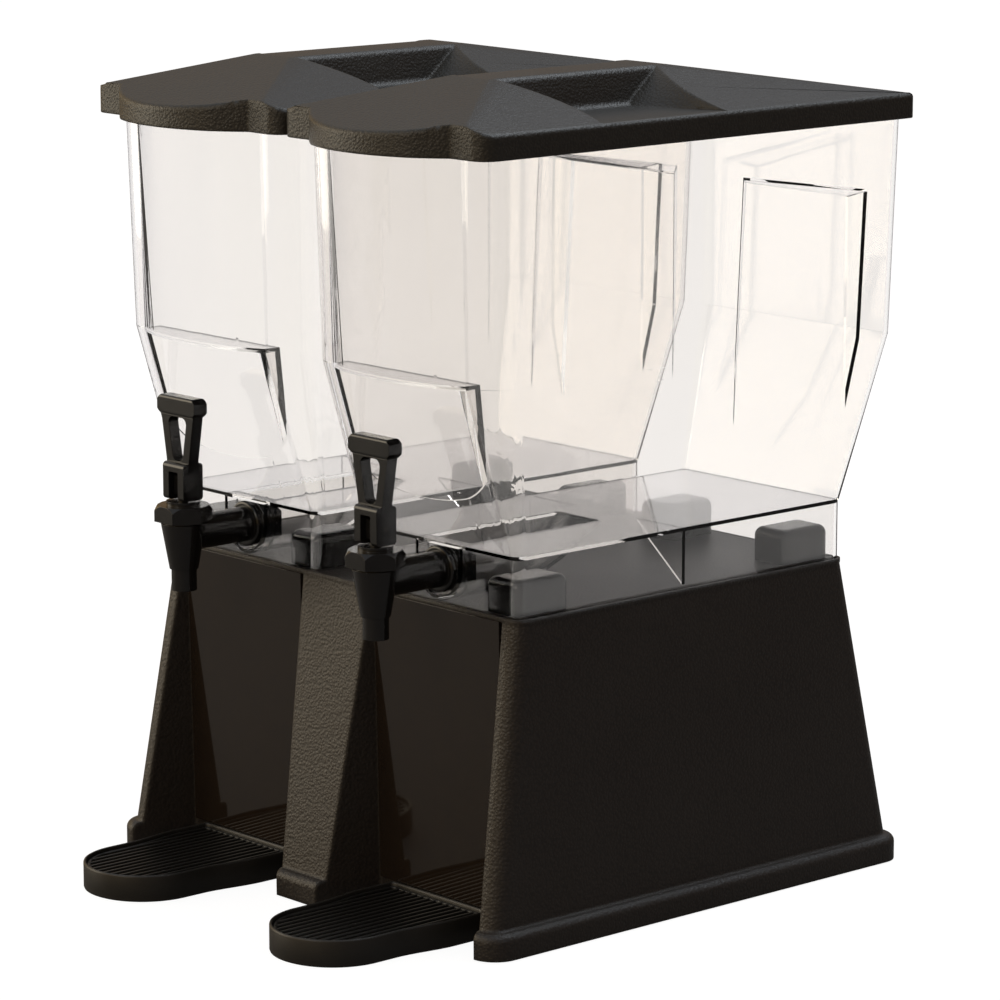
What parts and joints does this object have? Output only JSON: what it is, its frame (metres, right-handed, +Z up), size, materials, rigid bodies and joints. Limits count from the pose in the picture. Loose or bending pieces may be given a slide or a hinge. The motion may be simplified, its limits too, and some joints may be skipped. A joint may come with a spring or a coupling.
{
  "type": "beverage dispenser",
  "caption": "Twin gravity beverage dispenser: clear reservoirs with lids and self-closing faucets on a black moulded base with drip trays.",
  "frame": {"origin": "on the counter under the middle of the whole object, drip trays included", "axes": "+X to the right seen from the front, +Y to the back, +Z up; the faucets face -Y"},
  "size_m": [0.4326, 0.514, 0.602],
  "materials": {
    "base_plastic": "fine pebble grain, satin on the rounded edges",
    "lid_plastic": "fine pebble grain, satin on the rounded edges",
    "tray_plastic": "fine grain",
    "grid_plastic": "semi-gloss",
    "panel_plastic": "polished, mirror-like, dark smoked brown",
    "block_plastic": "glossy black",
    "clear_plastic": "clear, polished",
    "faucet_plastic": "glossy black",
    "stem_plastic": "smooth black",
    "nut_plastic": "smooth black",
    "seat_rubber": "smooth, pale silicone",
    "gasket_rubber": "smooth black",
    "foot_rubber": "matt black",
    "spring_steel": "drawn wire",
    "pin_steel": "ground rod"
  },
  "bodies": {
    "base": {"base_shell": "base_plastic", "base_feet": "foot_rubber", "locating_blocks_left": "block_plastic", "locating_blocks_right": "block_plastic", "recess_panel_left": "panel_plastic", "recess_panel_right": "panel_plastic"},
    "reservoir_left": {"reservoir_left": "clear_plastic", "faucet_body_left": "faucet_plastic", "faucet_bonnet_left": "faucet_plastic", "outer_gasket_left": "gasket_rubber", "inner_gasket_left": "gasket_rubber", "shank_nut_left": "nut_plastic", "return_spring_left": "spring_steel"},
    "lid_left": {"lid_left": "lid_plastic"},
    "drip_tray_left": {"drip_tray_left": "tray_plastic", "drip_grid_left": "grid_plastic"},
    "valve_stem_left": {"valve_stem_left": "stem_plastic", "seat_cup_left": "seat_rubber"},
    "faucet_handle_left": {"faucet_handle_left": "faucet_plastic", "handle_pin_left": "pin_steel"},
    "reservoir_right": {"reservoir_right": "clear_plastic", "faucet_body_right": "faucet_plastic", "faucet_bonnet_right": "faucet_plastic", "outer_gasket_right": "gasket_rubber", "inner_gasket_right": "gasket_rubber", "shank_nut_right": "nut_plastic", "return_spring_right": "spring_steel"},
    "lid_right": {"lid_right": "lid_plastic"},
    "drip_tray_right": {"drip_tray_right": "tray_plastic", "drip_grid_right": "grid_plastic"},
    "valve_stem_right": {"valve_stem_right": "stem_plastic", "seat_cup_right": "seat_rubber"},
    "faucet_handle_right": {"faucet_handle_right": "faucet_plastic", "handle_pin_right": "pin_steel"}
  },
  "joints": [
    {"name": "reservoir_lift_left", "type": "slide", "parent": "base", "child": "reservoir_left", "axis": [0, 0, 1], "range_m": [0, 0.06]},
    {"name": "lid_lift_left", "type": "slide", "parent": "reservoir_left", "child": "lid_left", "axis": [0, 0, 1], "range_m": [0, 0.06]},
    {"name": "tray_pull_left", "type": "slide", "parent": "base", "child": "drip_tray_left", "axis": [0, -1, 0], "range_m": [0, 0.06]},
    {"name": "stem_lift_left", "type": "slide", "parent": "reservoir_left", "child": "valve_stem_left", "axis": [0, 0, 1], "range_m": [0, 0.0031], "stiffness_N_per_m": 10, "springref_m": 0.0315, "deforming": ["return_spring_left"]},
    {"name": "handle_tilt_left", "type": "hinge", "parent": "valve_stem_left", "child": "faucet_handle_left", "pos_m": [-0.1083, -0.172, 0.2965], "axis": [1, 0, 0], "range_deg": [0, 35], "stiffness_Nm_per_rad": 0.25, "springref_deg": -17.19},
    {"name": "reservoir_lift_right", "type": "slide", "parent": "base", "child": "reservoir_right", "axis": [0, 0, 1], "range_m": [0, 0.06]},
    {"name": "lid_lift_right", "type": "slide", "parent": "reservoir_right", "child": "lid_right", "axis": [0, 0, 1], "range_m": [0, 0.06]},
    {"name": "tray_pull_right", "type": "slide", "parent": "base", "child": "drip_tray_right", "axis": [0, -1, 0], "range_m": [0, 0.06]},
    {"name": "stem_lift_right", "type": "slide", "parent": "reservoir_right", "child": "valve_stem_right", "axis": [0, 0, 1], "range_m": [0, 0.0031], "stiffness_N_per_m": 10, "springref_m": 0.0315, "deforming": ["return_spring_right"]},
    {"name": "handle_tilt_right", "type": "hinge", "parent": "valve_stem_right", "child": "faucet_handle_right", "pos_m": [0.1083, -0.172, 0.2965], "axis": [1, 0, 0], "range_deg": [0, 35], "stiffness_Nm_per_rad": 0.25, "springref_deg": -17.19}
  ],
  "couplings": [
    {"joint": "stem_lift_left", "follows": "handle_tilt_left", "m_per_rad": 0.00491},
    {"joint": "stem_lift_right", "follows": "handle_tilt_right", "m_per_rad": 0.00491}
  ]
}
